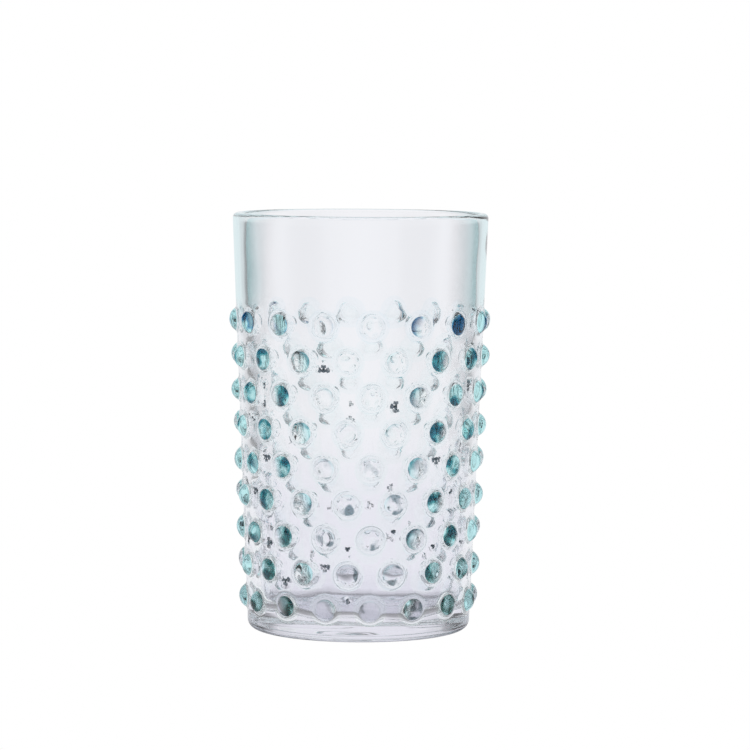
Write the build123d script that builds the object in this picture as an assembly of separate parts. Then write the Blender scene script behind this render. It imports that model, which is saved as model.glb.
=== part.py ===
from build123d import *
from math import atan2, cos, degrees, sqrt
import os

# Hobnail glass tumbler: a straight-sided drinking glass that flares a little from its foot to its lip.
# The body is clear glass with a thick floor, a plain band under the lip and a plain band at the foot.
# Between them it carries rings of small round bosses of coloured glass, the hobnails. Each ring is
# turned half a pitch from the ring above it, and each boss is fused into a shallow seat in the wall.
#
# Frame: millimetres, +Z up, origin at the centre of the foot, on the surface that it stands on.
# A hobnail of the top ring points along +X.

# Body
height = 135.0           # foot to lip
lip_radius = 41.4        # outside, at the lip
foot_radius = 36.0       # outside, where the line of the wall meets the standing surface
wall = 3.7               # measured square to the wall
floor_thickness = 7.0    # standing surface to the flat of the inside
lip_rounding = 1.5       # both edges of the lip
foot_rounding = 3.0      # outer edge of the foot
inside_rounding = 6.0    # where the inside of the wall runs into the floor
standing_ring = 4.0      # width of the flat ring that the glass stands on
punt_height = 1.2        # rise of the hollow under the middle of the foot

# Hobnails
ring_count = 9
hobs_per_ring = 16
plain_band = 34.5        # lip down to the centres of the top ring
foot_band = 10.6         # standing surface up to the centres of the bottom ring
hob_height = 2.6         # crown above the wall
hob_radius = 4.1         # ball that the boss is a cap of
seat_depth = 0.8         # flat seat below the wall's surface, at the middle of the boss

# Worked out
taper = atan2(lip_radius - foot_radius, height)
wall_across = wall / cos(taper)
ring_pitch = (height - plain_band - foot_band) / (ring_count - 1)
hob_pitch = 360.0 / hobs_per_ring


def outside_radius(z):
    """Outer radius of the wall at height z."""
    return foot_radius + (lip_radius - foot_radius) * z / height


def corner_near(face, x, z):
    """The corner of a half section that lies nearest to radius x and height z."""
    return min(face.vertices(), key=lambda corner: (corner.X - x) ** 2 + (corner.Z - z) ** 2)


def glass_blank():
    """Wall, floor and foot in one piece, turned from the half section, before the seats are cut."""
    hollow_edge = foot_radius - foot_rounding - standing_ring
    inside_foot = outside_radius(floor_thickness) - wall_across
    inside_lip = lip_radius - wall_across
    punt_ball = (hollow_edge**2 + punt_height**2) / (2 * punt_height)
    half_edge = hollow_edge / 2
    half_rise = punt_height - punt_ball + sqrt(punt_ball**2 - half_edge**2)
    outline = Curve() + [
        ThreePointArc((0, punt_height), (half_edge, half_rise), (hollow_edge, 0)),
        Polyline(
            (hollow_edge, 0),
            (foot_radius, 0),
            (lip_radius, height),
            (inside_lip, height),
            (inside_foot, floor_thickness),
            (0, floor_thickness),
            (0, punt_height),
        ),
    ]
    section = Plane.XZ * make_face(outline)
    section = fillet(corner_near(section, foot_radius, 0), foot_rounding)
    section = fillet(corner_near(section, inside_foot, floor_thickness), inside_rounding)
    section = fillet(corner_near(section, lip_radius, height), lip_rounding)
    section = fillet(corner_near(section, inside_lip, height), lip_rounding)
    return revolve(section, Axis.Z)


def hobnail(z):
    """One boss of the ring at height z, on the +X side: a cap of a ball with a flat seat."""
    ball_middle = hob_height - hob_radius
    span = 2 * hob_radius
    cap = Sphere(hob_radius) & Pos(0, 0, -seat_depth - ball_middle) * Box(
        span, span, span, align=(Align.CENTER, Align.CENTER, Align.MIN)
    )
    square_to_wall = Rot(0, 90 + degrees(taper), 0)
    return Pos(outside_radius(z), 0, z) * square_to_wall * Pos(0, 0, ball_middle) * cap


def hobnail_ring(index):
    """All bosses of one ring. Ring 1 is the top one, and the even rings are turned half a pitch."""
    z = height - plain_band - (index - 1) * ring_pitch
    turn = hob_pitch / 2 if index % 2 == 0 else 0.0
    boss = hobnail(z)
    return [Rot(0, 0, turn + step * hob_pitch) * boss for step in range(hobs_per_ring)]


body = glass_blank()
rings = {index: hobnail_ring(index) for index in range(1, ring_count + 1)}
for bosses in rings.values():
    body -= bosses

os.makedirs("parts", exist_ok=True)
body.label = "tumbler_body"
export_step(body, "parts/tumbler_body.step")
for index, bosses in rings.items():
    node = Compound(label=f"hobnail_ring_{index}", children=bosses)
    export_step(node, f"parts/hobnail_ring_{index}.step")
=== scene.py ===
"""Looks of a hobnail glass tumbler: clear body, rings of coloured glass bosses, studio and camera.

Lengths are in metres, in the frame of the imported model: +Z up, origin at the middle of the foot.
Every colour is three shares of light, red, green and blue.
"""

import logging
import math
import random
from collections.abc import Callable, Iterable
from dataclasses import dataclass
from enum import Enum, IntEnum

import bpy
import numpy as np
from mathutils import Euler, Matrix, Vector, kdtree, noise


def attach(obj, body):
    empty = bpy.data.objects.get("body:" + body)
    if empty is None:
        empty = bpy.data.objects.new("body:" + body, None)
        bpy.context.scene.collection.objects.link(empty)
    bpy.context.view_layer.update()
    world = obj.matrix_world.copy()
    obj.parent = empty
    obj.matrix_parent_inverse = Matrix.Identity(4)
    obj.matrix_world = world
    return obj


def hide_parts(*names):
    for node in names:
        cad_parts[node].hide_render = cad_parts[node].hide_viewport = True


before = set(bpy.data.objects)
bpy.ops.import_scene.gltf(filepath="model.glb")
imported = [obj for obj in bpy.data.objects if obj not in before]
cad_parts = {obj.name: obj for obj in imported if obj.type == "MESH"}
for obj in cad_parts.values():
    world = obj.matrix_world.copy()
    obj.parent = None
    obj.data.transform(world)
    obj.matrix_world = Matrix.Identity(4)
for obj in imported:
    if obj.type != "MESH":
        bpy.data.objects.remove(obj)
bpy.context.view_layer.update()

MM = 0.001
BODY_NODE = "tumbler_body"
RING_NODE = "hobnail_ring_{}"
FULL_HEIGHT = 135.0 * MM
FOOT_RADIUS = 36.0 * MM
LIP_RADIUS = 41.4 * MM
HAIR = 0.05 * MM     # how far a boss dips into the wall that it is fused to
STITCH = 0.002 * MM  # points nearer than this are one point
WHITE = (1.0, 1.0, 1.0)
LOG = logging.getLogger("tumbler")

Piece = bpy.types.Object
Material = bpy.types.Material
Socket = bpy.types.NodeSocket
Feed = Socket | float | tuple


class Height(Enum):
    """Where a ring of bosses lies on the body, which settles the colour of its glass."""

    SHOULDER = "blue_glass"
    UPPER = "aqua_glass"
    LOWER = "teal_glass"


class Skin(IntEnum):
    """The finishes of a piece of glass, by their places in its list."""

    OUTSIDE = 0
    SEAM = 1
    FILM = 2
    # NICKED: the nicks' faces, whose glass is painted dark as shade
    NICKED = 3


def edit_mode() -> None:
    """Enters edit mode on the active mesh."""
    bpy.ops.object.mode_set(mode="EDIT")


def object_mode() -> None:
    """Leaves edit mode."""
    bpy.ops.object.mode_set(mode="OBJECT")


def start_fresh() -> None:
    """Leaves nothing selected or active, so that an operator acts only on what comes next."""
    if bpy.context.object and bpy.context.object.mode != "OBJECT":
        object_mode()
    bpy.ops.object.select_all(action="DESELECT")
    bpy.context.view_layer.objects.active = None


def pick(*pieces: Piece) -> None:
    """Selects these objects alone and makes the first one active.

    Args:
        pieces: the objects to select.
    """
    start_fresh()
    for piece in pieces:
        piece.select_set(True)
    bpy.context.view_layer.objects.active = pieces[0]


def pick_faces(piece: Piece, wanted: Callable) -> None:
    """Selects some faces of the active mesh and stays in edit mode.

    Args:
        piece: the mesh object, which is active.
        wanted: a test that is true of the faces to select.
    """
    edit_mode()
    bpy.ops.mesh.select_mode(type="FACE")
    bpy.ops.mesh.select_all(action="DESELECT")
    object_mode()
    for face in piece.data.polygons:
        face.select = wanted(face)
    edit_mode()


def dress(piece: Piece, finishes: list) -> None:
    """Gives a mesh its materials.

    Args:
        piece: the mesh object.
        finishes: the materials, in the order of their slots.
    """
    for finish in finishes:
        piece.data.materials.append(finish)


def points_of(piece: Piece) -> np.ndarray:
    """The points of a mesh.

    Args:
        piece: a mesh object that sits at the origin.

    Returns:
        One row of x, y and z for each point.
    """
    found = np.empty(len(piece.data.vertices) * 3)
    piece.data.vertices.foreach_get("co", found)
    return found.reshape(-1, 3)


def move_points(piece: Piece, places: np.ndarray) -> None:
    """Puts the points of a mesh in new places.

    Args:
        piece: the mesh object.
        places: one row of x, y and z for each point.
    """
    piece.data.vertices.foreach_set("co", places.ravel())
    piece.data.update()


def copy_of(piece: Piece, name: str) -> Piece:
    """A copy of an object with a mesh of its own.

    Args:
        piece: the object to copy.
        name: what the copy is called.

    Returns:
        The copy, in the scene.
    """
    made = piece.copy()
    made.data = piece.data.copy()
    made.name = name
    bpy.context.scene.collection.objects.link(made)
    return made


def discard(piece: Piece) -> None:
    """Removes a pattern piece and its mesh once its copies are made.

    Args:
        piece: the object to remove.
    """
    mesh = piece.data
    bpy.data.objects.remove(piece)
    bpy.data.meshes.remove(mesh)


def weld(name: str, *pieces: Piece) -> Piece:
    """Joins objects into one mesh and merges the points that they share.

    Args:
        name: what the joined piece is called.
        pieces: the objects to join, which all sit at the origin.

    Returns:
        The joined piece, with its faces pointing outwards.
    """
    pick(*pieces)
    bpy.ops.object.join()
    made = bpy.context.object
    made.name = name
    made.data.name = name
    edit_mode()
    bpy.ops.mesh.select_all(action="SELECT")
    bpy.ops.mesh.remove_doubles(threshold=STITCH)
    bpy.ops.mesh.normals_make_consistent(inside=False)
    object_mode()
    return made


def arc(centre: tuple, radius: float, start: float, end: float, steps: int) -> list:
    """Points along an arc of a half section.

    Args:
        centre: its middle, as radius and height.
        radius: its radius.
        start: the angle that it starts at, in degrees from outwards.
        end: the angle that it ends at.
        steps: how many straight steps it is made of.

    Returns:
        Its points, both ends included, as pairs of radius and height.
    """
    turns = [math.radians(start + (end - start) * k / steps) for k in range(steps + 1)]
    return [(centre[0] + radius * math.cos(t), centre[1] + radius * math.sin(t)) for t in turns]


def straight(low: tuple, high: tuple, steps: int) -> list:
    """Evenly spaced points of a half section.

    Args:
        low: the pair of radius and height to start at.
        high: the pair to end at.
        steps: how many steps there are.

    Returns:
        The points, both ends included.
    """
    ends = list(zip(low, high))
    return [tuple(a + (b - a) * k / steps for a, b in ends) for k in range(steps + 1)]


@dataclass(frozen=True)
class Recipe:
    """The node tree of a finish or of the studio's light, with short ways to add to it."""

    tree: bpy.types.NodeTree

    def add(self, kind: str) -> bpy.types.Node:
        """Adds a node of a kind."""
        return self.tree.nodes.new("ShaderNode" + kind)

    def join(self, value: Feed, socket: Socket) -> None:
        """Gives a socket what it reads.

        Args:
            value: another socket, a number or a colour.
            socket: the socket that reads it.
        """
        if isinstance(value, Socket):
            self.tree.links.new(value, socket)
        else:
            socket.default_value = (*value, 1.0) if isinstance(value, tuple) else value

    def only(self, kind: str) -> bpy.types.Node:
        """Puts another shader in place of the usual one.

        Args:
            kind: the kind of its node.

        Returns:
            The shader's node.
        """
        self.tree.nodes.remove(self.tree.nodes["Principled BSDF"])
        made = self.add(kind)
        self.join(made.outputs[0], self.tree.nodes["Material Output"].inputs["Surface"])
        return made

    def place(self) -> Socket:
        """Adds the place on the piece."""
        return self.add("TexCoord").outputs["Object"]

    def axis(self, place: Socket, name: str) -> Socket:
        """Adds one coordinate of a place.

        Args:
            place: the place.
            name: X, Y or Z.

        Returns:
            The socket that gives the coordinate.
        """
        apart = self.add("SeparateXYZ")
        self.join(place, apart.inputs[0])
        return apart.outputs[name]

    def height(self) -> Socket:
        """Adds the height on the piece."""
        return self.axis(self.place(), "Z")

    def length(self, vector: Socket) -> Socket:
        """Adds the length of a vector.

        Args:
            vector: the vector.

        Returns:
            The socket that gives its length.
        """
        made = self.add("VectorMath")
        made.operation = "LENGTH"
        self.join(vector, made.inputs[0])
        return made.outputs["Value"]

    def slant(self) -> Socket:
        """Adds how far light crosses the skin at a slant, from 0 to 1.

        Returns:
            The socket that gives it.
        """
        made = self.add("LayerWeight")
        made.inputs["Blend"].default_value = 0.5
        return made.outputs["Facing"]

    def noise(self, size: float, detail: float = 2.0) -> Socket:
        """Adds soft patches of chance.

        Args:
            size: how many patches there are to a metre.
            detail: how many finer layers of patches there are.

        Returns:
            The socket that gives their strength.
        """
        made = self.add("TexNoise")
        made.inputs["Scale"].default_value = size
        made.inputs["Detail"].default_value = detail
        self.join(self.place(), made.inputs["Vector"])
        return made.outputs["Fac"]

    def share(
        self, value: Socket, low: float, high: float, soft: bool = False, most: float = 1.0
    ) -> Socket:
        """Adds how far a value has come from one level to another.

        Args:
            value: the value.
            low: the level where the share is 0.
            high: the level where it is full.
            soft: whether it eases in and out.
            most: the share when it is full.

        Returns:
            The socket that gives the share.
        """
        made = self.add("MapRange")
        made.interpolation_type = "SMOOTHSTEP" if soft else "LINEAR"
        made.inputs["From Min"].default_value = low
        made.inputs["From Max"].default_value = high
        made.inputs["To Max"].default_value = most
        self.join(value, made.inputs["Value"])
        return made.outputs[0]

    def sum(self, operation: str, *values: Feed) -> Socket:
        """Adds a sum.

        Args:
            operation: the name of the sum.
            values: the sockets or numbers that it takes.

        Returns:
            The socket that gives the answer.
        """
        made = self.add("Math")
        made.operation = operation
        for value, socket in zip(values, made.inputs):
            self.join(value, socket)
        return made.outputs[0]

    def mix(self, share: Feed, first: Feed, second: Feed, way: str = "MIX") -> Socket:
        """Adds a mixture of two colours.

        Args:
            share: the share of the second colour.
            first: the first colour.
            second: the second colour.
            way: how the second colour acts on the first.

        Returns:
            The socket that gives the mixture.
        """
        made = self.add("Mix")
        made.data_type = "RGBA"
        made.blend_type = way
        for value, name in ((share, "Factor"), (first, "A"), (second, "B")):
            self.join(value, made.inputs[name])
        return made.outputs["Result"]

    def ramp(self, share: Socket, stops: Iterable, soft: bool = False) -> Socket:
        """Adds a colour that changes along a ramp.

        Args:
            share: how far along the ramp it is.
            stops: pairs of place along the ramp and colour.
            soft: whether the colour eases from stop to stop.

        Returns:
            The socket that gives the colour.
        """
        made = self.add("ValToRGB")
        ramp = made.color_ramp
        ramp.interpolation = "EASE" if soft else "LINEAR"
        for k, (place, tone) in enumerate(stops):
            stop = ramp.elements[k] if k < 2 else ramp.elements.new(place)
            stop.position = place
            stop.color = (*tone, 1.0)
        self.join(share, made.inputs[0])
        return made.outputs[0]


def new_finish(name: str) -> tuple:
    """A new material.

    Args:
        name: what it is called.

    Returns:
        The material and its recipe.
    """
    made = bpy.data.materials.new(name)
    made.use_nodes = True
    return made, Recipe(made.node_tree)


@dataclass(frozen=True)
class Glass:
    """A clear glass, coloured a little at a slant, and darker and greyer near the foot in painted
    shade.

    A face colour shows face on and a tint at a slant. They run from the foot through the belly to
    the rest, at the shares of the full height that face_heights and slant_heights give.
    """

    name: str
    slot: str
    tint: tuple
    slant_tint: tuple
    belly_tint: tuple = (0.86, 0.90, 0.94)
    # painted shade: the foot's colours at a slant and face on, darker and greyer than the glass
    # above
    foot_tint: tuple = (0.30, 0.31, 0.42)
    foot_face: tuple = (0.84, 0.84, 0.91)
    belly_face: tuple = (0.94, 0.94, 0.975)
    face_heights: tuple = (0.05, 0.12, 0.28, 0.50)
    slant_heights: tuple = (0.03, 0.10, 0.72, 0.80)
    slant_from: float = 0.35
    slant_to: float = 0.95
    bend: float = 1.5
    roughness: float = 0.0
    ripple: float = 0.02
    ripple_size: float = 60.0

    def colour(self, recipe: Recipe) -> Socket:
        """Adds the colour of the skin.

        Args:
            recipe: the recipe that it goes in.

        Returns:
            The socket that gives the colour.
        """
        height = recipe.share(recipe.height(), 0.0, FULL_HEIGHT)
        # the foot's colours in these ramps are painted shade
        faces = (self.foot_face, self.belly_face, self.belly_face, self.tint)
        tints = (self.foot_tint, self.belly_tint, self.belly_tint, self.slant_tint)
        face_on = recipe.ramp(height, zip(self.face_heights, faces))
        aslant = recipe.ramp(height, zip(self.slant_heights, tints))
        share = recipe.share(recipe.slant(), self.slant_from, self.slant_to)
        return recipe.mix(share, face_on, aslant)

    def surface(self, number: int = 0) -> Material:
        """The polished outside of the glass.

        Args:
            number: the number of the ring that it is for, or 0 for the body.

        Returns:
            The material.
        """
        made, recipe = new_finish(f"{self.name}_{number}" if number else f"{self.name}_body")
        shader = made.node_tree.nodes["Principled BSDF"]
        shader.inputs["Transmission Weight"].default_value = 1.0
        shader.inputs["IOR"].default_value = self.bend
        shader.inputs["Roughness"].default_value = self.roughness
        recipe.join(self.colour(recipe), shader.inputs["Base Color"])
        bump = recipe.add("Bump")
        bump.inputs["Strength"].default_value = self.ripple
        bump.inputs["Distance"].default_value = MM
        recipe.join(recipe.noise(self.ripple_size, detail=1.0), bump.inputs["Height"])
        recipe.join(bump.outputs["Normal"], shader.inputs["Normal"])
        return made

    def seam(self, number: int = 0) -> Material:
        """The inside face where this glass is melted to another, which light passes unbent.

        Args:
            number: the number of the ring that it is for, or 0 for the body.

        Returns:
            The material.
        """
        made, recipe = new_finish(f"{self.name}_seam_{number}" if number else f"{self.name}_seam")
        recipe.only("BsdfTransparent")
        return made


@dataclass(frozen=True)
class StainedGlass(Glass):
    """The glass of the bosses: clear at the crown and stained round its foot."""

    stain: tuple = (0.8, 0.95, 0.97)
    stain_low: float = 0.2 * MM
    stain_high: float = 2.0 * MM
    flare: float = (LIP_RADIUS - FOOT_RADIUS) / FULL_HEIGHT

    def colour(self, recipe: Recipe) -> Socket:
        """Adds the colour of the skin, deepest where the boss meets the wall.

        Args:
            recipe: the recipe that it goes in.

        Returns:
            The socket that gives the colour.
        """
        place = recipe.place()
        flat = recipe.add("CombineXYZ")
        for name in "XY":
            recipe.join(recipe.axis(place, name), flat.inputs[name])
        wall = recipe.sum("MULTIPLY_ADD", recipe.axis(place, "Z"), self.flare, FOOT_RADIUS)
        rise = recipe.sum("SUBTRACT", recipe.length(flat.outputs[0]), wall)
        share = recipe.share(rise, self.stain_low, self.stain_high, soft=True)
        return recipe.mix(share, self.stain, super().colour(recipe))


@dataclass(frozen=True)
class NickGlass(Glass):
    """The glass in a nick, painted dark grey as shade for the light that its broken faces throw
    aside.
    """

    # painted shade: the dark grey that most of a nick's faces are painted
    dull: tuple = (0.025, 0.035, 0.045)
    grain: float = 700.0
    dull_up_to: float = 0.6
    clear_from: float = 0.8

    def surface(self, number: int = 0) -> Material:
        """The broken faces of the nicks.

        Args:
            number: not used, because only the body is nicked.

        Returns:
            The material.
        """
        made = super().surface()
        made.name = self.name
        return made

    def colour(self, recipe: Recipe) -> Socket:
        """Adds the painted dark shade, which fades in places to the colour of the skin.

        Args:
            recipe: the recipe that it goes in.

        Returns:
            The socket that gives the colour.
        """
        share = recipe.share(recipe.noise(self.grain), self.dull_up_to, self.clear_from)
        return recipe.mix(share, self.dull, super().colour(recipe))


@dataclass(frozen=True)
class SeatFilm:
    """The film of colour where a boss is melted on.

    It is clear face on, deep from the side and pale at a graze. Its colours run from the foot
    through the middle to the shoulder, at the shares that tone_heights gives of the way from
    tones_low to tones_high. A patch is a pair of strengths of the chance pattern, the one where a
    patch begins and the one where it is full. The darker patches are painted shade, standing in
    for the dark spots that the surroundings make in a boss.
    """

    name: str
    foot_tone: tuple
    middle_tone: tuple
    shoulder_tone: tuple
    pale_tone: tuple
    # painted shade: the colour that the film is multiplied by in its darker patches
    thick_tone: tuple = (0.3, 0.4, 0.5)
    way_out_tone: tuple = (0.97, 1.0, 1.0)
    clear_up_to: float = 0.055
    full_from: float = 0.20
    pale_from: float = 0.36
    pale_to: float = 0.56
    tones_low: float = 10.0 * MM
    tones_high: float = 105.0 * MM
    tone_heights: tuple = (0.0, 0.55, 0.85, 0.93)
    patch_size: float = 260.0
    # painted shade: the strengths where the darker patches begin and are full
    thick_patch: tuple = (0.46, 0.40)
    pale_patch: tuple = (0.47, 0.58)
    spot_patch: tuple = (0.44, 0.36)
    spots_end: float = 62.0 * MM
    spots_full: float = 44.0 * MM
    spot_strength: float = 0.75

    def tone(self, recipe: Recipe) -> Socket:
        """Adds the film's colour, which changes with height and from patch to patch; the darker
        patches are painted shade.

        Args:
            recipe: the recipe that it goes in.

        Returns:
            The socket that gives the colour.
        """
        height = recipe.share(recipe.height(), self.tones_low, self.tones_high)
        tones = (self.foot_tone, self.middle_tone, self.middle_tone, self.shoulder_tone)
        deep = recipe.ramp(height, zip(self.tone_heights, tones))
        # painted shade: the first patches darken the film's colour
        thick, pale = self.patches(recipe, self.thick_patch), self.patches(recipe, self.pale_patch)
        darker = recipe.mix(thick, deep, self.thick_tone, "MULTIPLY")
        return recipe.mix(pale, darker, self.pale_tone)

    def patches(self, recipe: Recipe, limits: tuple) -> Socket:
        """Adds soft patches, 1 inside and 0 outside, between two strengths of the pattern."""
        return recipe.share(recipe.noise(self.patch_size, detail=1.0), *limits)

    def spots(self, recipe: Recipe) -> Socket:
        """Adds the spots near the foot where the film is thick enough to show face on."""
        ends, most = (self.spots_end, self.spots_full), self.spot_strength
        low = recipe.share(recipe.height(), *ends, most=most)
        return recipe.sum("MULTIPLY", low, self.patches(recipe, self.spot_patch))

    def surface(self) -> Material:
        """The film, which light passes unbent, and which colours it only on its way in.

        Returns:
            The material.
        """
        made, recipe = new_finish(self.name)
        slant = recipe.slant()
        deep = recipe.share(slant, self.clear_up_to, self.full_from, soft=True)
        grazing = recipe.share(slant, self.pale_from, self.pale_to, soft=True)
        tone = recipe.mix(grazing, self.tone(recipe), self.pale_tone)
        way_in = recipe.mix(recipe.sum("MAXIMUM", deep, self.spots(recipe)), WHITE, tone)
        way_out = recipe.add("NewGeometry").outputs["Backfacing"]
        colour = recipe.mix(way_out, way_in, self.way_out_tone)
        recipe.join(colour, recipe.only("BsdfTransparent").inputs["Color"])
        return made


@dataclass(frozen=True)
class Wall:
    """The wall of the body, a cone that flares towards the lip."""

    height: float = FULL_HEIGHT
    lip_radius: float = LIP_RADIUS
    foot_radius: float = FOOT_RADIUS
    thickness: float = 3.7 * MM
    ring_count: int = 9
    bosses_per_ring: int = 16
    plain_band: float = 34.5 * MM
    foot_band: float = 10.6 * MM

    @property
    def lean(self) -> float:
        """Lean of the wall from upright, in radians."""
        return math.atan2(self.lip_radius - self.foot_radius, self.height)

    @property
    def ring_pitch(self) -> float:
        """Height from one ring of bosses to the next."""
        return (self.height - self.plain_band - self.foot_band) / (self.ring_count - 1)

    @property
    def boss_turn(self) -> float:
        """Angle from one boss of a ring to the next, in radians."""
        return 2 * math.pi / self.bosses_per_ring

    def radius(self, z: float) -> float:
        """Outer radius of the wall at height z."""
        return self.foot_radius + (self.lip_radius - self.foot_radius) * z / self.height

    def inner_radius(self, z: float) -> float:
        """Inner radius of the wall at height z."""
        return self.radius(z) - self.thickness / math.cos(self.lean)

    def inner_edge(self, z: float) -> tuple:
        """The point of the wall's inside that lies square behind the outside at height z."""
        across, up = self.thickness * math.cos(self.lean), self.thickness * math.sin(self.lean)
        return (self.radius(z) - across, z + up)

    def ring_height(self, ring: int) -> float:
        """Height of the middle of a ring, where ring 1 is the top one."""
        return self.height - self.plain_band - (ring - 1) * self.ring_pitch

    def ring_start(self, ring: int) -> float:
        """Angle of a ring's first boss, in radians: the even rings are turned half a pitch."""
        return self.boss_turn / 2 if ring % 2 == 0 else 0.0

    def wrap(self, flat: np.ndarray, z: float, turn: float) -> np.ndarray:
        """Lays flat points round the wall.

        Args:
            flat: rows of the way round, the way up and the way out of the wall.
            z: the height on the wall of the flat piece's middle.
            turn: the angle round the wall of its middle, in radians.

        Returns:
            The points on the wall.
        """
        way_out = flat[:, 2]
        angle = turn + flat[:, 0] / (self.radius(z) + way_out)
        up = z + flat[:, 1]
        out = self.radius(up) + way_out * math.cos(self.lean)
        up = up - way_out * math.sin(self.lean)
        return np.column_stack((out * np.cos(angle), out * np.sin(angle), up))

    def copies(self, pattern: Piece, ring: int, shape: Callable) -> list:
        """Copies a flat piece round a ring and removes it.

        Args:
            pattern: the flat piece.
            ring: the ring.
            shape: gives one copy's flat points from the pattern's.

        Returns:
            The copies.
        """
        flat = points_of(pattern)
        made = []
        for step in range(self.bosses_per_ring):
            made.append(copy_of(pattern, "copy"))
            turn = self.ring_start(ring) + step * self.boss_turn
            move_points(made[-1], self.wrap(shape(flat), self.ring_height(ring), turn))
        discard(pattern)
        return made


@dataclass
class Boss:
    """One hobnail, modelled flat: a cap of a ball that runs out into the wall in a hollow."""

    crown_radius: float = 4.1 * MM
    rise: float = 2.6 * MM
    run_out: float = 1.6 * MM
    skirt: float = 5.4 * MM
    root: float = 0.8 * MM
    root_radius: float = 3.6 * MM
    root_spread: float = 1.15
    seat_share: float = 0.999
    least_edge: float = 0.05 * MM
    spokes: int = 48
    hollow_steps: int = 6
    crown_steps: int = 9

    def outline(self) -> list:
        """The boss's half section, from its skirt to just short of its top.

        Returns:
            Pairs of radius and rise above the wall.
        """
        low = self.rise - self.crown_radius
        reach = math.sqrt((self.crown_radius + self.run_out) ** 2 - (self.run_out - low) ** 2)
        meet = math.degrees(math.atan2(self.run_out - low, reach))
        hollow = arc((reach, self.run_out), self.run_out, -90, meet - 180, self.hollow_steps)
        crown = arc((0.0, low), self.crown_radius, meet, 90, self.crown_steps)
        edge = [(self.skirt, 0.0)] if reach < self.skirt - self.least_edge else []
        return edge + hollow + crown[1:-1]

    def grow(self, steps: list, last: tuple) -> None:
        """Extrudes the selected face ring by ring.

        Args:
            steps: pairs of radius and height to extrude to.
            last: the pair that the face is at now.
        """
        for radius, up in steps:
            bpy.ops.mesh.extrude_region_move()
            share = radius / last[0]
            bpy.ops.transform.resize(value=(share, share, 1), center_override=(0, 0, 0))
            bpy.ops.transform.translate(value=(0, 0, up - last[1]))
            last = (radius, up)

    def disc(self, finishes: list) -> Piece:
        """Adds the disc that a flat piece is begun with, selected in edit mode.

        Args:
            finishes: the materials that the piece has slots for.

        Returns:
            The disc.
        """
        start_fresh()
        bpy.ops.mesh.primitive_circle_add(vertices=self.spokes, radius=self.skirt, fill_type="NGON")
        made = bpy.context.object
        dress(made, finishes)
        edit_mode()
        bpy.ops.mesh.select_all(action="SELECT")
        return made

    def pick_disc(self, piece: Piece) -> None:
        """Selects the disc that a flat piece was begun with, in edit mode."""
        pick_faces(piece, lambda face: len(face.vertices) == self.spokes)

    def open_disc(self, piece: Piece) -> Piece:
        """Removes the disc that a flat piece was begun with.

        Args:
            piece: the flat piece.

        Returns:
            The piece, open below.
        """
        self.pick_disc(piece)
        bpy.ops.mesh.delete(type="ONLY_FACE")
        object_mode()
        return piece

    def shell(self, finishes: list) -> Piece:
        """Models the rounded form, flat, from a disc that stays under it.

        Args:
            finishes: the materials that the piece has slots for.

        Returns:
            The form, with the disc still there.
        """
        form = self.disc(finishes)
        top = self.outline()
        self.grow(top[1:] if top[0][0] >= self.skirt - STITCH else top, (self.skirt, 0.0))
        bpy.ops.mesh.poke()
        object_mode()
        middle = min(form.data.vertices, key=lambda v: v.co.x**2 + v.co.y**2)
        middle.co = (0.0, 0.0, self.rise)
        return form

    def model(self, finishes: list) -> Piece:
        """Models the boss, closed below by its seat, which dips a hair into the wall all over.

        Args:
            finishes: the materials of its outside and of its seat.

        Returns:
            The boss, closed.
        """
        boss = self.shell(finishes)
        self.pick_disc(boss)
        root = self.root_radius
        steps = [(self.skirt * self.seat_share, -HAIR), (root * self.root_spread, -HAIR)]
        steps += [(root, -self.root), (root / 2, -self.root)]
        self.grow(steps, (self.skirt, 0.0))
        bpy.ops.mesh.poke()
        object_mode()
        points = boss.data.vertices
        for face in boss.data.polygons:
            if min(points[k].co.z for k in face.vertices) < 0:
                face.material_index = Skin.SEAM
        return boss


@dataclass
class Irregular:
    """How much one hand-made boss differs from the next."""

    sideways: float = 0.35 * MM
    size: float = 0.05
    oval: float = 0.04
    flatter: float = 0.08
    fade: float = 0.75

    def apply(self, flat: np.ndarray, skirt: float, dice: random.Random) -> np.ndarray:
        """Moves and reshapes one boss, with its skirt left where it meets the wall.

        Args:
            flat: the points of the flat boss.
            skirt: the radius at which nothing moves.
            dice: the source of chance.

        Returns:
            The changed points.
        """
        made = flat.copy()
        distance = np.hypot(flat[:, 0], flat[:, 1])
        share = np.clip(1 - (distance / skirt) ** 2, 0, 1) ** self.fade
        size = 1 + dice.uniform(-self.size, self.size)
        oval = dice.uniform(-self.oval, self.oval)
        lower = 1 - dice.uniform(0, self.flatter)
        made[:, 0] *= 1 + share * (size * (1 + oval) - 1)
        made[:, 1] *= 1 + share * (size * (1 - oval) - 1)
        for axis in (0, 1):
            made[:, axis] += share * dice.uniform(-self.sideways, self.sideways)
        made[:, 2] *= np.where(flat[:, 2] > 0, lower, 1.0)
        return made


@dataclass
class BossRing:
    """One ring of bosses, all in one piece that stands for its CAD node."""

    wall: Wall
    boss: Boss
    ring: int
    uneven: Irregular
    glass: Glass
    seed: int = 7
    smooth_up_to: float = 60.0

    def build(self) -> Piece:
        """Models one boss and copies it round the wall.

        Returns:
            The ring.
        """
        pattern = self.boss.model([self.glass.surface(self.ring), self.glass.seam(self.ring)])
        dice = random.Random(self.seed * 100 + self.ring)
        copies = self.wall.copies(
            pattern, self.ring, lambda flat: self.uneven.apply(flat, self.boss.skirt, dice)
        )
        ring = weld(f"hobnails_{self.ring}", *copies)
        pick(ring)
        bpy.ops.object.shade_smooth_by_angle(angle=math.radians(self.smooth_up_to))
        return ring

    def tie(self, ring: Piece) -> None:
        """Ties the ring to the frame.

        Args:
            ring: the built ring.
        """
        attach(ring, "root")
        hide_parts(RING_NODE.format(self.ring))


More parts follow.
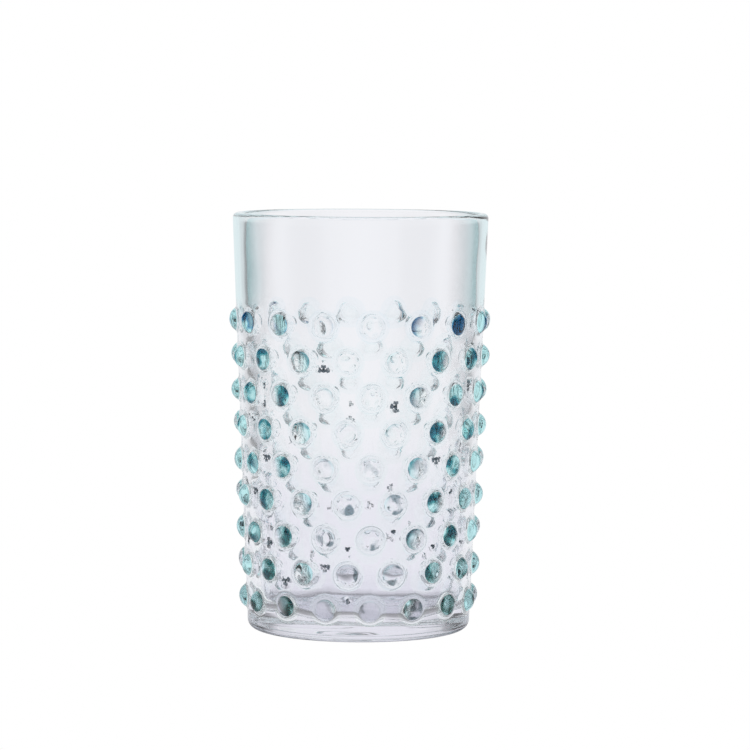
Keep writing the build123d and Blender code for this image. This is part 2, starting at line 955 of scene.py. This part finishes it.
@dataclass
class Nicks:
    """The small starry nicks where the hollows round three bosses meet.

    Each is a pushed-in point with a few arms of points, whose depths are shares of its own depth.
    """

    deepest: float = 1.7 * MM
    shallowest: float = 0.8 * MM
    arms: int = 3
    first_depth: tuple = (0.75, 1.0)
    second_depth: tuple = (0.5, 0.9)
    third_depth: tuple = (0.2, 0.5)
    chance: float = 0.2
    upper_rings: int = 5
    upper_share: float = 0.8
    lower_share: float = 1.4
    off_row: float = 0.25
    stray: float = 0.15 * MM
    large_share: float = 0.5
    seed: int = 90

    def spots(self, wall: Wall) -> list:
        """Picks some of the places where three hollows meet.

        Args:
            wall: the wall that the bosses sit on.

        Returns:
            Their points.
        """
        dice = random.Random(self.seed)
        chosen = []
        for ring in range(1, wall.ring_count + 1):
            share = self.lower_share if ring > self.upper_rings else self.upper_share
            for step in range(wall.bosses_per_ring):
                turn = wall.ring_start(ring) + (step + 0.5) * wall.boss_turn
                for side in (-self.off_row, self.off_row):
                    outermost = (ring == 1 and side > 0) or (ring == wall.ring_count and side < 0)
                    if dice.random() < self.chance * share and not outermost:
                        z = wall.ring_height(ring) + side * wall.ring_pitch
                        out = wall.radius(z)
                        chosen.append((out * math.cos(turn), out * math.sin(turn), z))
        return chosen

    def nearest(self, body: Piece, spots: list) -> list:
        """Finds the body's points that are nearest to some places.

        Args:
            body: the welded body.
            spots: the places.

        Returns:
            The number of one point for each place.
        """
        places = points_of(body)
        tree = kdtree.KDTree(len(places))
        for k, place in enumerate(places):
            tree.insert(place, k)
        tree.balance()
        return [tree.find(spot)[1] for spot in spots]

    def divide(self, body: Piece, found: list) -> None:
        """Cuts the faces round some points in four.

        Args:
            body: the welded body.
            found: the numbers of the points.
        """
        pick(body)
        wanted = set(found)
        pick_faces(body, lambda face: not wanted.isdisjoint(face.vertices))
        bpy.ops.mesh.subdivide(number_cuts=1)
        object_mode()

    def onward(self, places: np.ndarray, beside: dict, start: int, via: int) -> int:
        """The point that lies most nearly straight on from one point past its neighbour."""
        aim = 2 * places[via] - places[start]
        return min(sorted(beside[via]), key=lambda k: np.linalg.norm(places[k] - aim))

    def cut(self, body: Piece, wall: Wall) -> None:
        """Pushes in a point at each nick and a short row of points along each of its arms, and
        gives the faces round them the nick glass, which is painted dark in patches as shade.

        Args:
            body: the welded body.
            wall: the wall that the bosses sit on.
        """
        spots = self.spots(wall)
        self.divide(body, self.nearest(body, spots))
        dice = random.Random(self.seed + 1)
        places = points_of(body)
        beside = {}
        for edge in body.data.edges:
            ends = tuple(edge.vertices)
            for here, there in (ends, ends[::-1]):
                beside.setdefault(here, []).append(there)
        depths = np.zeros(len(places))
        moved = places.copy()
        # the points of the nicks' broken faces, whose faces get the painted shade of the nick glass
        broken = set()
        for found in self.nearest(body, spots):
            depth = dice.uniform(self.shallowest, self.deepest)
            large = dice.random() < self.large_share  # a large nick's arms are one point longer
            depths[found] = depth
            near = sorted(beside[found])
            for first in dice.sample(near, min(self.arms, len(near))):
                second = self.onward(places, beside, found, first)
                third = self.onward(places, beside, first, second)
                depths[first] = depth * dice.uniform(*self.first_depth)
                depths[second] = depth * dice.uniform(*self.second_depth)
                last = depth * dice.uniform(*self.third_depth) * large
                depths[third] = max(depths[third], last)
                broken |= {found, first, second, third} if large else {found, first, second}
                x, y, _ = places[first]
                across = np.array([-y, x, 0]) / np.linalg.norm((x, y))
                moved[first] += across * dice.uniform(-self.stray, self.stray)
                moved[first][2] += dice.uniform(-self.stray, self.stray)
        radius = np.hypot(moved[:, 0], moved[:, 1])
        moved[:, :2] *= (1 - depths / np.maximum(radius, MM))[:, None]
        move_points(body, moved)
        # painted shade: the faces round a nick get the dark nick glass
        for face in body.data.polygons:
            if len(broken.intersection(face.vertices)) > 1:
                face.material_index = Skin.NICKED


@dataclass
class Body:
    """The clear glass body: wall, lip, floor and foot."""

    wall: Wall
    boss: Boss
    dent: Boss
    glass: Glass
    film: SeatFilm
    # the nicks' glass, painted dark in patches as shade
    nicked: Glass
    uneven: Irregular
    nicks: Nicks
    floor: float = 7.0 * MM
    lip_rounding: float = 1.5 * MM
    foot_rounding: float = 3.0 * MM
    inside_rounding: float = 6.0 * MM
    standing_ring: float = 4.0 * MM
    punt: float = 1.2 * MM
    film_radius: float = 3.0 * MM
    dented_rings: int = 8
    off_centre: float = 0.4 * MM
    waviness: float = 0.12 * MM
    wave_size: float = 90.0
    foot_wave: float = 1.1 * MM
    foot_wave_size: float = 70.0
    foot_wave_start: tuple = (3, 1, 4)
    sink_share: float = 0.8
    tile_cuts: int = 12
    run_out_cuts: int = 2
    band_steps: int = 14
    floor_steps: int = 10
    foot_steps: int = 4
    inside_steps: int = 3
    lip_steps: int = 6
    corner_steps: int = 8
    punt_steps: int = 12
    smooth_up_to: float = 32.0
    seed: int = 40

    def __post_init__(self) -> None:
        """Makes the body's materials, in the order of Skin."""
        surfaces = (self.glass.surface, self.glass.seam, self.film.surface, self.nicked.surface)
        self.finishes = [surface() for surface in surfaces]

    def rim(self, wide: float, high: float) -> Piece:
        """Models the bare edge of a tile, a rectangle of points joined in a ring.

        Args:
            wide: its width.
            high: its height.

        Returns:
            The edge, flat.
        """
        start_fresh()
        bpy.ops.mesh.primitive_grid_add(
            x_subdivisions=self.tile_cuts, y_subdivisions=self.tile_cuts, size=1
        )
        rim = bpy.context.object
        dress(rim, self.finishes)
        edit_mode()
        bpy.ops.mesh.select_all(action="SELECT")
        bpy.ops.transform.resize(value=(wide, high, 1), center_override=(0, 0, 0))
        bpy.ops.mesh.delete(type="ONLY_FACE")
        object_mode()
        half = (wide / 2 - STITCH, high / 2 - STITCH)
        for point in rim.data.vertices:
            point.select = abs(point.co.x) < half[0] and abs(point.co.y) < half[1]
        edit_mode()
        bpy.ops.mesh.select_mode(type="VERT")
        bpy.ops.mesh.delete(type="VERT")
        object_mode()
        return rim

    def seat(self) -> Piece:
        """Models the round patch of wall that a boss is fused to, with the film in its middle.

        Returns:
            The patch, flat.
        """
        seat = self.boss.disc(self.finishes)
        self.boss.grow([(self.film_radius, 0.0)], (self.boss.skirt, 0.0))
        bpy.ops.mesh.poke()
        object_mode()
        self.boss.open_disc(seat)
        for face in seat.data.polygons:
            face.material_index = Skin.FILM if len(face.vertices) == 3 else Skin.SEAM
        return seat

    def tile(self, ring: int, inside: bool) -> Piece:
        """Models the flat tile of wall round one boss, with its seat or the dent behind it.

        Args:
            ring: the ring that it is for, because the wall is wider further up.
            inside: whether it is a tile of the wall's inside.

        Returns:
            The tile.
        """
        wall = self.wall
        radius = wall.radius(wall.ring_height(ring)) - (wall.thickness if inside else 0.0)
        tile = self.rim(radius * wall.boss_turn, wall.ring_pitch)
        pick(tile, self.dent.open_disc(self.dent.shell(self.finishes)) if inside else self.seat())
        bpy.ops.object.join()
        edit_mode()
        bpy.ops.mesh.select_mode(type="EDGE")
        bpy.ops.mesh.select_all(action="DESELECT")
        bpy.ops.mesh.select_non_manifold()
        cuts = 0 if inside else self.run_out_cuts
        bpy.ops.mesh.bridge_edge_loops(number_cuts=cuts, interpolation="LINEAR")
        object_mode()
        for face in tile.data.polygons:
            if inside or math.hypot(*face.center.xy) > self.boss.skirt:
                face.material_index = Skin.OUTSIDE
        return tile

    def tiles(self, ring: int, inside: bool) -> list:
        """Copies a tile round the wall.

        Args:
            ring: the ring that the tiles belong to.
            inside: whether they line the wall's inside.

        Returns:
            The tiles.
        """
        dice = random.Random(self.seed + ring)

        def sunk(flat: np.ndarray) -> np.ndarray:
            """One dent's points, at the wall's inside."""
            return self.uneven.apply(flat, self.dent.skirt, dice) - (0.0, 0.0, self.wall.thickness)

        return self.wall.copies(self.tile(ring, inside), ring, sunk if inside else np.copy)

    def lathe(self, name: str, outline: list) -> Piece:
        """Spins a half section round the axis.

        Args:
            name: what the piece is called.
            outline: pairs of radius and height.

        Returns:
            The turned piece.
        """
        start_fresh()
        mesh = bpy.data.meshes.new(name)
        edges = [(k, k + 1) for k in range(len(outline) - 1)]
        mesh.from_pydata([(r, 0.0, z) for r, z in outline], edges, [])
        mesh.materials.append(self.finishes[Skin.OUTSIDE])
        made = bpy.data.objects.new(name, mesh)
        bpy.context.scene.collection.objects.link(made)
        pick(made)
        edit_mode()
        bpy.ops.mesh.select_all(action="SELECT")
        steps = self.tile_cuts * self.wall.bosses_per_ring
        bpy.ops.mesh.spin(steps=steps, angle=2 * math.pi, center=(0, 0, 0), axis=(0, 0, 1))
        bpy.ops.mesh.select_all(action="SELECT")
        bpy.ops.mesh.remove_doubles(threshold=STITCH)
        object_mode()
        return made

    def lip_outline(self) -> list:
        """From the top of the bossed wall up over the lip and down to the top of the dents.

        Returns:
            Pairs of radius and height.
        """
        wall, rounding = self.wall, self.lip_rounding
        lean = math.degrees(wall.lean)
        across = rounding / math.cos(wall.lean)
        low = wall.ring_height(1) + wall.ring_pitch / 2
        turn = wall.height - rounding
        outer = (wall.radius(turn) - across, turn)
        inner = (wall.inner_radius(turn) + across, turn)
        points = straight((wall.radius(low), low), (wall.radius(turn), turn), self.band_steps)
        points += arc(outer, rounding, -lean, 90, self.lip_steps)[1:]
        points += arc(inner, rounding, 90, 180 - lean, self.lip_steps)
        return points + straight(points[-1], wall.inner_edge(low), self.band_steps)[1:]

    def floor_outline(self) -> list:
        """From the bottom of the dented wall down inside and across the floor to the middle.

        Returns:
            Pairs of radius and height.
        """
        wall, rounding = self.wall, self.inside_rounding
        low = wall.ring_height(self.dented_rings) - wall.ring_pitch / 2
        turn = self.floor + rounding
        corner = (wall.inner_radius(turn) - rounding / math.cos(wall.lean), turn)
        inside = arc(corner, rounding, -math.degrees(wall.lean), -90, self.corner_steps)
        points = straight(wall.inner_edge(low), inside[0], self.inside_steps)[:-1] + inside
        return points + straight(inside[-1], (0.0, self.floor), self.floor_steps)[1:]

    def foot_outline(self) -> list:
        """From the bottom of the bossed wall round the foot to the middle of the hollow under it.

        Returns:
            Pairs of radius and height.
        """
        wall, r = self.wall, self.foot_rounding
        high = wall.ring_height(wall.ring_count) - wall.ring_pitch / 2
        corner = (wall.radius(r) - r / math.cos(wall.lean), r)
        points = straight((wall.radius(high), high), (wall.radius(r), r), self.foot_steps)[:-1]
        points += arc(corner, r, -math.degrees(wall.lean), -90, self.corner_steps)
        hollow_edge = wall.foot_radius - r - self.standing_ring
        ball = (hollow_edge**2 + self.punt**2) / (2 * self.punt)
        spread = math.degrees(math.asin(hollow_edge / ball))
        hollow = arc((0.0, self.punt - ball), ball, 90 - spread, 90, self.punt_steps)
        return points + [(hollow_edge, 0.0)] + hollow[1:]

    def build(self) -> Piece:
        """Builds the whole body.

        Returns:
            The body as one closed mesh.
        """
        parts = []
        for ring in range(1, self.wall.ring_count + 1):
            parts += self.tiles(ring, inside=False)
            if ring <= self.dented_rings:
                parts += self.tiles(ring, inside=True)
        parts.append(self.lathe("lip", self.lip_outline()))
        parts.append(self.lathe("cup_floor", self.floor_outline()))
        parts.append(self.lathe("foot", self.foot_outline()))
        body = weld("tumbler", *parts)
        self.nicks.cut(body, self.wall)
        self.blow(body)
        pick(body)
        bpy.ops.object.shade_smooth_by_angle(angle=math.radians(self.smooth_up_to))
        return body

    def blow(self, body: Piece) -> None:
        """Makes the inside wavy and off centre and the floor uneven, as in blown glass.

        Args:
            body: the welded body.
        """
        places = points_of(body)
        radius = np.hypot(places[:, 0], places[:, 1])
        below = places[:, 2] < self.floor - STITCH
        share = np.clip((self.wall.radius(places[:, 2]) - radius) / self.wall.thickness, 0, 1)
        share[below] = 0.0
        waves = np.array([noise.noise(Vector(place) * self.wave_size) for place in places])
        swell = 1 + share * waves * self.waviness / np.maximum(radius, MM)
        places[:, 0] = places[:, 0] * swell + share * self.off_centre
        places[:, 1] *= swell
        hollow = self.wall.foot_radius - self.foot_rounding - self.standing_ring - STITCH
        rounding = self.inside_rounding
        low = np.clip((self.floor + rounding - places[:, 2]) / rounding, 0, 1)
        low[(radius > hollow) & below] = 0.0
        start = Vector(self.foot_wave_start)
        lifts = np.array([noise.noise(Vector(p) * self.foot_wave_size + start) for p in places])
        lowest = -self.sink_share * np.minimum(places[:, 2], MM)
        places[:, 2] += low * np.maximum(lifts * self.foot_wave, lowest)
        move_points(body, places)

    def tie(self, body: Piece) -> None:
        """Ties the body to the frame.

        Args:
            body: the built body.
        """
        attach(body, "root")
        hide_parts(BODY_NODE)


@dataclass
class Studio:
    """A white table, pale surroundings with darker parts, and the camera.

    The camera sees the table and the surroundings as plain white, and only the glass shows the
    darker parts. A list of greys gives pairs of place and brightness: from the middle of the table
    outwards, from straight ahead round to the side, behind the glass and before it, and from level
    to overhead. The table's greys are a painted shadow in a ring under the glass's foot.
    """

    sheet_tone: tuple = (0.90, 0.90, 0.92)
    table_radius: float = 420.0 * MM
    table_drop: float = 0.5 * MM
    table_sides: int = 96
    shade_radius: float = 50.0 * MM
    # painted shadow: the table's glow dims in a ring under the rim of the glass's foot
    table_greys: tuple = (
        (0.0, 0.9), (0.5, 0.88), (0.6, 0.45), (0.72, 0.3), (0.82, 0.8), (1.0, 1.0),
    )
    behind_greys: tuple = (
        (0.0, 1.0), (0.26, 0.98), (0.38, 0.86), (0.475, 0.4),
        (0.56, 0.05), (0.73, 0.05), (0.85, 0.6), (1.0, 1.0),
    )
    before_greys: tuple = ((0.0, 1.0), (0.35, 0.9), (0.5, 0.6), (0.72, 0.6), (1.0, 1.0))
    overhead_greys: tuple = ((0.0, 1.0), (0.42, 1.0), (0.52, 0.2), (0.66, 0.2), (0.8, 1.0))
    middle: float = 0.15
    pale_above: tuple = (0.55, 0.85)
    pale_below: tuple = (-0.12, -0.24)
    aim_turn: float = -6.0
    distance: float = 1133.0 * MM
    eye_height: float = 173.1 * MM
    look_down: float = 4.578
    aside: float = 4.95 * MM
    tilt: float = 0.35
    lens: float = 168.1
    sensor: float = 36.0
    nearest: float = 0.01
    furthest: float = 20.0
    bounces: int = 32
    glossy_bounces: int = 16
    see_through_bounces: int = 64

    def greys(self, recipe: Recipe, share: Socket, levels: tuple) -> Socket:
        """Adds a soft ramp of brightness, in the tone of the sheets."""
        stops = [(at, tuple(level * tone for tone in self.sheet_tone)) for at, level in levels]
        return recipe.ramp(share, stops, soft=True)

    def plain(self, recipe: Recipe, light: Socket) -> Socket:
        """Adds plain white for the camera in place of the light that the glass gets."""
        return recipe.mix(recipe.add("LightPath").outputs["Is Camera Ray"], light, WHITE)

    def table(self) -> None:
        """A pale table top that glows, with a painted shadow in a ring where the glass stands."""
        start_fresh()
        bpy.ops.mesh.primitive_circle_add(
            vertices=self.table_sides,
            radius=self.table_radius,
            fill_type="NGON",
            location=(0, 0, -self.table_drop),
        )
        table = bpy.context.object
        table.name = "table_top"
        made, recipe = new_finish("table_painted_shadow")
        # painted shadow: the glow is dimmed round the foot, for the rays that come through the
        # glass
        out = recipe.share(recipe.length(recipe.place()), 0.0, self.shade_radius)
        light = self.plain(recipe, self.greys(recipe, out, self.table_greys))
        recipe.join(light, recipe.only("Emission").inputs["Color"])
        table.data.materials.append(made)

    def surroundings(self) -> None:
        """White in front and behind, darker at the sides and above, white overhead and below."""
        world = bpy.data.worlds.new("studio")
        bpy.context.scene.world = world
        world.use_nodes = True
        recipe = Recipe(world.node_tree)
        turned = recipe.add("Mapping")
        turned.inputs["Rotation"].default_value = (0, 0, math.radians(-self.aim_turn))
        recipe.join(recipe.add("TexCoord").outputs["Generated"], turned.inputs["Vector"])
        x, y, z = (recipe.axis(turned.outputs[0], name) for name in "XYZ")
        angle = recipe.sum("ABSOLUTE", recipe.sum("ARCTAN2", x, y))
        quarter = math.pi / 2
        aside = recipe.sum("DIVIDE", recipe.sum("PINGPONG", angle, quarter), quarter)
        behind = self.greys(recipe, aside, self.behind_greys)
        before = self.greys(recipe, aside, self.before_greys)
        around = recipe.mix(recipe.share(y, -self.middle, self.middle), before, behind)
        overhead = self.greys(recipe, z, self.overhead_greys)
        sides = recipe.mix(1.0, around, overhead, "DARKEN")
        above = recipe.share(z, *self.pale_above, soft=True)
        below = recipe.share(z, *self.pale_below, soft=True)
        light = recipe.mix(recipe.sum("MAXIMUM", above, below), sides, self.sheet_tone)
        recipe.join(self.plain(recipe, light), recipe.tree.nodes["Background"].inputs["Color"])

    def camera(self) -> None:
        """The camera, a long lens a little above the lip."""
        data = bpy.data.cameras.new("camera")
        data.lens = self.lens
        data.sensor_width = self.sensor
        data.clip_start = self.nearest
        data.clip_end = self.furthest
        made = bpy.data.objects.new("camera", data)
        bpy.context.scene.collection.objects.link(made)
        turn = math.radians(self.aim_turn)
        right = Vector((math.cos(turn), math.sin(turn), 0))
        back = Vector((math.sin(turn), -math.cos(turn), 0))
        made.location = back * self.distance + right * self.aside + Vector((0, 0, self.eye_height))
        made.rotation_euler = Euler((math.radians(90 - self.look_down), 0.0, turn))
        made.rotation_euler.rotate_axis("Z", math.radians(self.tilt))
        bpy.context.scene.camera = made

    def build(self) -> None:
        """Sets the studio up round the glass, with enough bounces for light to cross both walls."""
        self.table()
        self.surroundings()
        self.camera()
        scene = bpy.context.scene
        scene.view_settings.view_transform = "Standard"
        scene.cycles.max_bounces = self.bounces
        scene.cycles.transmission_bounces = self.bounces
        scene.cycles.glossy_bounces = self.glossy_bounces
        scene.cycles.transparent_max_bounces = self.see_through_bounces
        scene.cycles.volume_bounces = 0


CLEAR = Glass(
    "clear_glass",
    "clear_glass",
    tint=(0.985, 0.99, 1.0),
    slant_tint=(0.42, 0.83, 0.85),
    slant_from=0.42,
    slant_to=0.92,
)
NICK_SHADE_GLASS = NickGlass(
    "nick_shade_glass", "clear_glass", tint=(0.9, 0.92, 0.95), slant_tint=(0.7, 0.75, 0.8)
)
FILM = SeatFilm(
    "seat_film_and_painted_shade",
    foot_tone=(0.06, 0.22, 0.19),
    middle_tone=(0.06, 0.38, 0.44),
    shoulder_tone=(0.005, 0.24, 0.46),
    pale_tone=(0.64, 0.98, 0.98),
)
# tint, slant tint and stain of the bosses' glass
STAINED = {
    Height.SHOULDER: ((0.98, 0.99, 1.0), (0.75, 0.88, 0.97), (0.90, 0.96, 0.99)),
    Height.UPPER: ((0.98, 1.0, 1.0), (0.75, 0.93, 0.95), (0.91, 0.97, 0.98)),
    Height.LOWER: ((0.98, 1.0, 1.0), (0.75, 0.91, 0.91), (0.91, 0.96, 0.96)),
}
LAST_UPPER_RING = 4


def glass_of(ring: int) -> Glass:
    """The glass of one ring: bluer at the shoulder, greener towards the foot.

    Args:
        ring: the number of the ring.

    Returns:
        Its glass.
    """
    height = Height.UPPER if ring <= LAST_UPPER_RING else Height.LOWER
    if ring == 1:
        height = Height.SHOULDER
    tint, slant_tint, stain = STAINED[height]
    return StainedGlass(height.value, height.value, tint, slant_tint, stain=stain)


def main() -> None:
    """Builds the tumbler, then the studio."""
    logging.basicConfig(level=logging.INFO, format="%(message)s")
    wall, boss, uneven = Wall(), Boss(), Irregular()
    dent = Boss(rise=1.67 * MM, run_out=1.0 * MM, skirt=4.6 * MM, hollow_steps=2, crown_steps=4)
    makers = [Body(wall, boss, dent, CLEAR, FILM, NICK_SHADE_GLASS, uneven, Nicks())]
    for number in range(1, wall.ring_count + 1):
        makers.append(BossRing(wall, boss, number, uneven, glass_of(number)))
    for maker in makers:
        piece = maker.build()
        maker.tie(piece)
        LOG.info("%s: %d faces", piece.name, len(piece.data.polygons))
    Studio().build()


if __name__ == "__main__":
    main()
